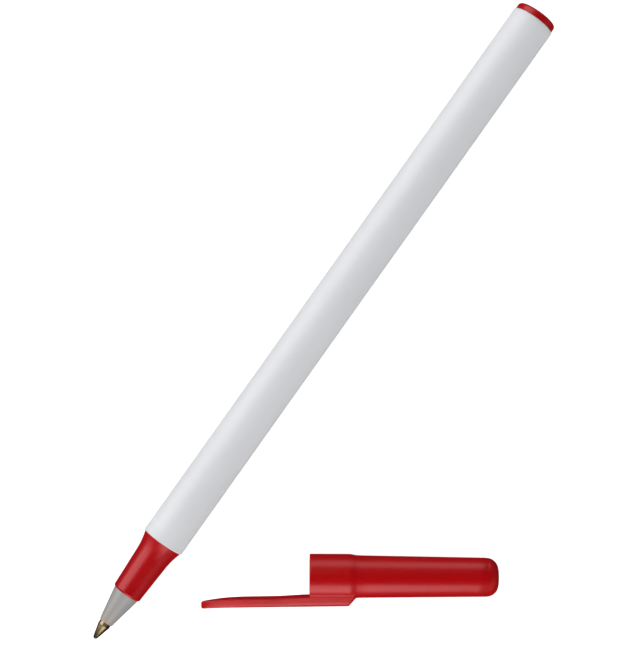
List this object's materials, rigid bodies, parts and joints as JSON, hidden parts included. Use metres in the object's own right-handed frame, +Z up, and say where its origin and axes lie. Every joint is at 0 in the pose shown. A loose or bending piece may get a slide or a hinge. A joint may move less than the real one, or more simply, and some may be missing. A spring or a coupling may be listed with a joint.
{
  "type": "stick ballpoint pen",
  "caption": "Round white stick ballpoint pen with a smoky nose cone and brass point, a red grip section and end plug, lying beside its red pull-off cap with a pocket clip.",
  "frame": {"origin": "on the table, under the middle of the box round the pen and its cap", "axes": "+X from the writing point to the tail, +Z up from the table, the cap lies on the -Y side"},
  "size_m": [0.145, 0.0611, 0.0085],
  "materials": {
    "white_plastic": "semi-gloss moulded polystyrene",
    "red_plastic": "glossy moulded polypropylene",
    "smoke_plastic": "satin, slightly translucent",
    "brass": "fine turned",
    "carbide": "ground ball, ink on it",
    "clear_tube": "extruded, translucent",
    "ink": "wet"
  },
  "bodies": {
    "pen_body": {"barrel": "white_plastic", "end_plug": "red_plastic", "grip_section": "red_plastic", "nose_cone": "smoke_plastic", "point_socket": "brass", "ink_tube": "clear_tube", "ink_column": "ink"},
    "rolling_ball": {"writing_ball": "carbide"},
    "cap_body": {"cap": "red_plastic"},
    "clip_arm": {"pocket_clip": "red_plastic"}
  },
  "joints": [
    {"name": "ball_roll", "type": "hinge", "parent": "pen_body", "child": "rolling_ball", "pos_m": [-0.0721, 0.0263, 0.00425], "axis": [0, 1, 0], "continuous": true},
    {"name": "cap_lift", "type": "slide", "parent": "pen_body", "child": "cap_body", "axis": [0, 0, 1], "range_m": [0, 0.08]},
    {"name": "clip_flex", "type": "hinge", "parent": "cap_body", "child": "clip_arm", "pos_m": [-0.04398, -0.00339, 0.00425], "axis": [0, 0, 1], "range_deg": [0, 4], "stiffness_Nm_per_rad": 0.6}
  ]
}
